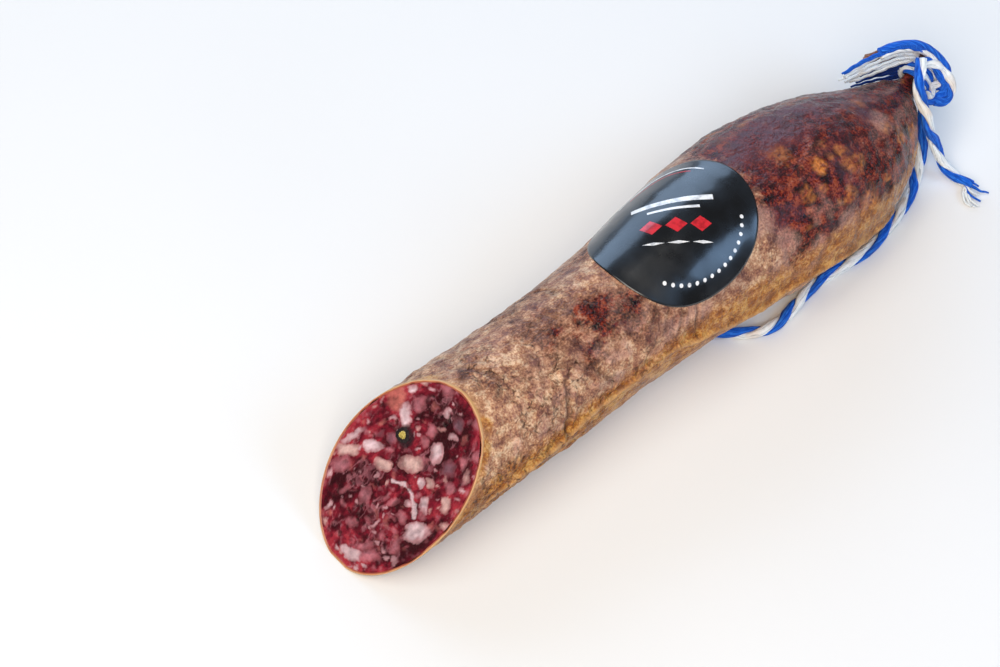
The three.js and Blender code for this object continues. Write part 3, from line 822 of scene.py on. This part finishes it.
# For each kind of fat: its colour, how soft its outline is, and how much it hides the lean.
TONES = np.array([linear(c) for c in ("#ccb2ba", "#ccaaa6", "#b57480", "#bd7469", "#866473")])[:, :3]
SOFT = (0.22, 0.26, 0.45, 0.55, 0.4)
HIDES = (0.95, 0.92, 0.64, 0.55, 0.5)
grain_fine = cloud(flat, 1.3, 41)
streaks = cloud(bent * (1, 0.4, 1), 2.6, 42)
blotches = cloud(flat, 9, 43)
edge_near = ease(np.broadcast_to(rings, sideways_mm.shape), 0.86, 0.99)
depth_of_red = 0.42 + 0.42 * blotches + 0.46 * streaks + 0.3 * grain_fine
for y0, s0, size in DARK:
    depth_of_red -= 0.19 * np.exp(-(((sideways_mm - y0) ** 2 + (up_mm - s0) ** 2) / size**2))
depth_of_red = np.clip(depth_of_red + 0.35 * edge_near, 0, 1)[..., None]
LEAN = np.array([linear(c) for c in ("#31060f", "#520c1b", "#761829", "#9b2e3a")])
marks = np.linspace(0, 1, len(LEAN))
lean = np.concatenate([np.interp(depth_of_red, marks, LEAN[:, k]) for k in range(3)], -1)
# Thin pale threads of connective tissue in the lean.
for seed, breadth, strength in ((45, 0.09, 0.42), (46, 0.07, 0.36)):
    thread = bell(cloud(bent * (1, 0.5, 1), 4, seed), breadth)
    thread = (strength * thread * ease(cloud(flat, 7, seed + 2, 2), -0.1, 0.5))[..., None]
    lean += thread * (TONES[PINK] - lean)
EDGE_TONE = np.array(linear("#9c4550")[:3])
colour = lean
raised = 0.05 * grain_fine + 0.08 * streaks
fat_share = np.zeros(sideways_mm.shape)
for y0, s0, long, broad, lies, kind in pieces:
    c, s = math.cos(math.radians(lies)), math.sin(math.radians(lies))
    dy, ds = ragged[..., 0] - y0, ragged[..., 1] - s0
    u, v = np.abs(dy * c + ds * s) / (long / 2), np.abs(ds * c - dy * s) / (broad / 2)
    inside = (1 - (u**2.6 + v**2.6) ** (1 / 2.6)) * broad / 2
    cover = ease(inside, -SOFT[kind], SOFT[kind]) * HIDES[kind]
    cover *= 0.92 + 0.25 * streaks + 0.15 * grain_fine
    core = ease(inside + 0.5 * blotches, 0, 1.5)[..., None]
    tone = EDGE_TONE + (0.42 + 0.58 * core) * (TONES[kind] - EDGE_TONE)
    shade = 0.88 + 0.14 * core[..., 0] + 0.16 * streaks + 0.14 * grain_fine
    colour += cover[..., None] * (tone * shade[..., None] - colour)
    fat_share = np.maximum(fat_share, cover)
    raised += 0.16 * cover * ease(inside, -0.3, 0.9)
away = distance_to(flat[..., :2] + 0.45 * (bent[..., :2] - flat[..., :2]), np.array(SINEW))
strand = (1 - ease(away + 0.6 * streaks + 0.25 * blotches, 0.35, 1.2)) * 0.9
colour += strand[..., None] * (TONES[WHITE] * (0.95 + 0.2 * streaks)[..., None] - colour)
raised += 0.12 * strand
# The peppercorn has stained the meat round it.
PEPPER = (9.4, 9.3)
stain = np.hypot(sideways_mm - PEPPER[0] + 0.8, up_mm - PEPPER[1] - 0.3) + 0.9 * streaks
stain = 0.85 * (1 - ease(stain, 3.2, 5.2))[..., None]
colour += stain * (np.array(linear("#231a20")[:3]) - colour)
# The pits are painted darker, a painted shade in them.
pits = ease(cloud(bent, 3, 44, 2), 0.86, 1) * (1 - fat_share)
colour *= 1 - 0.6 * pits[..., None]
raised -= 0.4 * pits
face += outward * (raised * (1 - edge_near) + 0.12)[..., None]

# Cured pork, cut with a knife: deep red lean that looks wet, and waxy fat that light enters.
cut_pork, add, shader, place = new_material(
    "sliced cured pork", IOR=1.38, Specular_IOR_Level=0.22, Coat_Weight=0.06, Coat_Roughness=0.12,
    Subsurface_Weight=0.08, Subsurface_Radius=(1, 0.35, 0.25), Subsurface_Scale=0.0015,
)
flesh = add("Attribute", attribute_name="flesh").outputs["Color"]
fatness = add("Attribute", attribute_name="fatness").outputs["Fac"]
# Muscle fibre cut across, drawn 0.7 mm apart.
fibre = add("TexNoise", {"Vector": place, "Scale": 1400, "Detail": 3})
smooth = add("MapRange", {"Value": fatness, 3: 0.35, 4: 0.06})
swing = add("Math", {0: fibre, 1: 0.5}, operation="SUBTRACT")
light = add("Math", {0: swing, 1: smooth}, operation="MULTIPLY")
light = add("Math", {0: light, 1: 3, 2: 1}, operation="MULTIPLY_ADD")
toned = add("VectorMath", {0: flesh, "Scale": light}, operation="SCALE")
wet = add("MapRange", {"Value": fatness, 3: 0.26, 4: 0.4})
bump = add("Bump", {"Height": fibre, "Strength": 0.6, "Distance": 0.0005})
shade_with(shader, Base_Color=toned, Roughness=wet, Normal=bump, Coat_Normal=bump)
cut_face = build(
    "cut_face",
    [{
        "points": face[::-1], "along": rings[::-1, 0] * FACE_LONG * MM,
        "around": face_angles * FACE_BROAD * MM,
        "values": {"fatness": fat_share[::-1]},
    }],
    [cut_pork], caps=False,
)
held = cut_face.data.attributes.new("flesh", "FLOAT_COLOR", "POINT")
shown = np.concatenate([colour[::-1], np.ones(colour.shape[:2] + (1,))], -1)
held.data.foreach_set("color", shown.astype(np.float32).ravel())
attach(cut_face, "root")

# The cut edge of the casing: the skin stands a little proud of the meat that dried back from
# it, and the light comes through it peach and yellow.
edge_skin, add, shader, place = new_material(
    "cut casing edge", IOR=1.45, Roughness=0.4, Coat_Weight=0.2, Coat_Roughness=0.25,
    Subsurface_Weight=0.15, Subsurface_Radius=(1, 0.6, 0.4), Subsurface_Scale=0.002,
)
# Thick and thin places 6 mm apart.
patchy = add("TexNoise", {"Vector": place, "Scale": 170, "Detail": 3})
inward = add("Attribute", attribute_name="inward").outputs["Fac"]
mixed = add("Math", {0: patchy, 1: 0.4, 2: inward}, operation="MULTIPLY_ADD")
peach = [(0.15, "#a27a4e"), (0.45, "#bf9460"), (0.75, "#cc9d70"), (1, "#a4533a")]
shade_with(shader, Base_Color=add("ValToRGB", {"Fac": mixed}, peach))
waver = 1 + 0.5 * cloud(edge, 7, 51) + 0.35 * cloud(edge, 3, 52, 2)
inwards = unit(middle - edge)
# Across the edge: how far in from the outside, how far out past the cut, and the share of the
# peach tone. The first two rows lie on the skin itself.
PROFILE = [
    (0, -0.5, 0.1), (0, -0.2, 0.2), (0.02, 0.06, 0.3), (0.2, 0.24, 0.5), (0.4, 0.24, 0.7),
    (0.7, 0.12, 0.85), (1.1, -0.06, 1),
]
rim_rows = []
for depth, out, _ in PROFILE:
    if depth == 0:
        rim_rows.append(casing_point(cut_at(round_face) - out, round_face, 0.06))
    else:
        rim_rows.append(edge + (inwards * depth + outward * out) * waver[:, None])
rim = build(
    "casing_edge",
    [{
        "points": np.array(rim_rows)[::-1], "along": np.linspace(0, 2.6, len(PROFILE)) * MM,
        "around": face_angles * FACE_BROAD * MM,
        "values": {"inward": np.array([p[2] for p in PROFILE])[::-1, None]},
    }],
    [edge_skin], caps=False,
)
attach(rim, "root")

# A whole black peppercorn that the knife went through: pale and dry inside, with a black husk
# that stands a little over the meat. Both are dull.


# A material whose colour wavers from place to place between its stops.
def wavering(name, scale, detail, stops, **sockets):
    made, add, shader, place = new_material(name, **sockets)
    noise = add("TexNoise", {"Vector": place, "Scale": scale, "Detail": detail})
    shade_with(shader, Base_Color=add("ValToRGB", {"Fac": noise}, stops))
    return made, add, shader, noise


husk = wavering(
    "black peppercorn husk", 900, 2, [(0.35, "#0b080a"), (0.65, "#2a2124")],
    IOR=1.5, Roughness=0.65, Specular_IOR_Level=0.2,
)[0]
kernel = wavering(
    "peppercorn kernel, cut", 1300, 2, [(0.35, "#8c7a32"), (0.55, "#b5a34e"), (0.75, "#cfc27c")],
    IOR=1.5, Roughness=0.6,
)[0]
# From the middle out: distance, height over the meat.
HUSK = [(1.3, 0.3), (1.6, 0.4), (2.1, 0.42), (2.5, 0.34), (2.8, 0.2), (3, -0.2)]
KERNEL = [(0.02, 0.42), (0.6, 0.44), (1, 0.4), (1.42, 0.34)]
spot = np.array([CUT_X, 0, CUT_HEIGHT]) + slope_way * PEPPER[1] + (0, PEPPER[0], 0)
turn = np.linspace(0, ROUND, 49)
t = turn[:-1, None]
parts = []
for slot, profile in enumerate((HUSK, KERNEL)):
    rows = []
    for away, high in profile:
        rough = 1 + 0.08 * np.sin(3 * t + 1) + 0.06 * np.sin(11 * t + 2 * away)
        ring = spot + outward * (high + 0.05 * np.sin(9 * t + 4 * away))
        ring += np.cos(t) * slope_way * (away * rough * 0.94)
        rows.append(ring + np.sin(t) * (0, 1, 0) * (away * rough))
    parts.append({
        "points": np.array(rows), "along": np.array([p[0] for p in profile]) * MM,
        "around": turn * 2 * MM, "slot": slot,
    })
peppercorn = build("peppercorn", parts, [husk, kernel], caps=False)
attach(peppercorn, "root")

# Round self-adhesive label of glossy black film, stuck over the top of the sausage. It bridges
# the fine wrinkles and follows the broad form, and its edge is pressed down.
# Smears of grease and handling, 15 mm across, dull its gloss.
label_film, add, shader, smear = wavering(
    "gloss black polypropylene label", 65, 5, [(0.35, "#07090d"), (0.7, "#10151c")],
    IOR=1.5, Coat_Weight=0.55, Coat_Roughness=0.14,
)
gloss = add("MapRange", {"Value": smear, 1: 0.35, 2: 0.7, 3: 0.2, 4: 0.42})
film_bump = add("Bump", {"Height": smear, "Strength": 0.15, "Distance": 0.002})
shade_with(shader, Roughness=gloss, Normal=film_bump)


# A place on the label, from its middle: along the sausage, backwards, and height over the skin.
def on_label(along, back, above):
    x = LABEL_X + along
    angle = math.pi / 2 - (LABEL_BACK + back) / girth_at(x)[0]
    spots = casing_point(x, angle, 0)
    waves = 0.12 * cloud(spots, 19, 4, 2) + 0.09 * cloud(spots, 8, 61, 2)
    return casing_point(x, angle, above + waves)


turn = np.linspace(0, ROUND, 241)
inside = np.linspace(0.0005, 1, 46)
across_label = np.append(inside * LABEL_RADIUS, [LABEL_RADIUS + 0.02, LABEL_RADIUS - 0.1])
over = 0.3 + 0.25 * (1 - ease(across_label, LABEL_RADIUS - 7, LABEL_RADIUS - 0.5))
over[-2:] = (0.16, 0.02)
label_points = on_label(
    across_label[:, None] * np.cos(turn[:-1]), across_label[:, None] * np.sin(turn[:-1]), over[:, None]
)
label = build(
    "label",
    [{"points": label_points, "along": across_label * MM, "around": turn * LABEL_RADIUS * MM}],
    [label_film], caps=False,
)
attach(label, "root")
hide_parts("label")

# The label's print: plain bars, lozenges, arcs and a row of dots in white and red screen ink,
# which lies on the film as a thin, slightly glossy layer.
white_ink, red_ink = (
    wavering(name, 400, 3, [(0.35, thin), (0.55, full)], IOR=1.5, Roughness=0.3, Coat_Weight=0.6)[0]
    for name, thin, full in (
        ("white screen ink", "#b9bcc0", "#ececec"), ("red screen ink", "#a3141f", "#cf2430"),
    )
)
WHITE_INK, RED_INK = 0, 1
# The ink's height over the skin, just over the film, and the way that the bars lie.
INK_OVER = 0.6
LIES = math.radians(-38)
cross = np.array([math.cos(LIES), math.sin(LIES)])
rise = np.array([-cross[1], cross[0]])


# A strip of print along a line of places on the label, with its breadth at each.
def strip(places, breadths, slot):
    line = np.array(places, float)
    ahead = unit(np.gradient(line, axis=0))
    beside = np.stack([-ahead[:, 1], ahead[:, 0]], -1)
    shares = np.linspace(-0.5, 0.5, 7)
    spread = line[:, None] + beside[:, None] * (np.array(breadths)[:, None] * shares)[..., None]
    return {
        "points": on_label(spread[..., 0], spread[..., 1], INK_OVER), "closed": False,
        "slot": slot, "along": run_of(line) * MM, "around": shares * 0.01,
    }


def arc(radius, start, end, breadth, slot):
    way = np.radians(np.linspace(start, end, 60))
    return strip(radius * np.stack([np.cos(way), np.sin(way)], -1), [breadth] * 60, slot)


def bar(middle, length, breadths, slot):
    t = np.linspace(-0.5, 0.5, len(breadths))[:, None]
    return strip(middle + t * length * cross, breadths, slot)


def dot(middle, radius, slot):
    t = np.linspace(-0.999, 0.999, 17)
    return strip(middle + np.stack([t * radius, 0 * t], -1), 2 * radius * np.sqrt(1 - t**2), slot)


prints = [arc(26.5, 20, 100, 0.7, WHITE_INK), arc(24.6, 30, 90, 0.5, RED_INK)]
for up, long, broad in ((8, 30, 2.2), (4.2, 19, 1.1)):
    prints.append(bar(rise * up, long, [broad] * 24, WHITE_INK))
tapered = 1 - 2 * np.abs(np.linspace(-0.5, 0.5, 25))
for down, broad, ink in ((3, 6.2, RED_INK), (10, 1.2, WHITE_INK)):
    for n in (-1, 0, 1):
        prints.append(bar(cross * n * 9 - rise * down, 8, tapered * broad + 0.02, ink))
for n in range(15):
    way = math.radians(218 + n * 7.5)
    prints.append(dot(25 * np.array([math.cos(way), math.sin(way)]), 0.75, WHITE_INK))
label_print = build("label_print", prints, [white_ink, red_ink], caps=False)
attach(label_print, "root")

# Pale matt studio floor, and soft light: a broad window-like panel low behind the sausage, one
# over its near side, a key beyond the cut end, and a dim even surround.
floor_paint = wavering(
    "matt white studio floor", 3, 2, [(0.3, "#e6e6e5"), (0.7, "#ebebea")], IOR=1.4, Roughness=0.9
)[0]
floor_mesh = bpy.data.meshes.new("studio_floor")
floor_mesh.from_pydata([(-4, -4, 0), (4, -4, 0), (4, 4, 0), (-4, 4, 0)], [], [(0, 1, 2, 3)])
floor_mesh.materials.append(floor_paint)
add_object("studio_floor", floor_mesh)

world = bpy.data.worlds.new("studio")
world.use_nodes = True
shade_with(world.node_tree.nodes["Background"], Color=linear("#f0efec"), Strength=0.16)
bpy.context.scene.world = world
bpy.context.scene.view_settings.view_transform = "Standard"
# Each panel: heading and elevation in degrees, distance, breadth, height, watts and colour.
PANELS = [
    ("window_panel", 66, 26, 1.6, 2, 1, 22, "#b4d3f7"),
    ("side_panel", -56, 40, 1.5, 0.8, 0.6, 8, "#a3caf7"),
    ("key_panel", 208, 50, 1.6, 1.1, 1.1, 23, "#fff2e2"),
    ("top_panel", 150, 72, 1.7, 0.8, 0.8, 7, "#fffaf2"),
]
for name, heading, elevation, distance, breadth, tall, watts, tint in PANELS:
    panel = bpy.data.lights.new(name, "AREA")
    panel.shape = "RECTANGLE"
    panel.size, panel.size_y = breadth, tall
    panel.energy = watts
    panel.color = linear(tint)[:3]
    h, e = math.radians(heading), math.radians(elevation)
    away = np.array([math.cos(h) * math.cos(e), math.sin(h) * math.cos(e), math.sin(e)])
    right = unit(np.cross((0, 0, 1), away))
    facing = Matrix([right, np.cross(away, right), away]).transposed().to_4x4()
    add_object(name, panel).matrix_world = Matrix.Translation(away * distance) @ facing
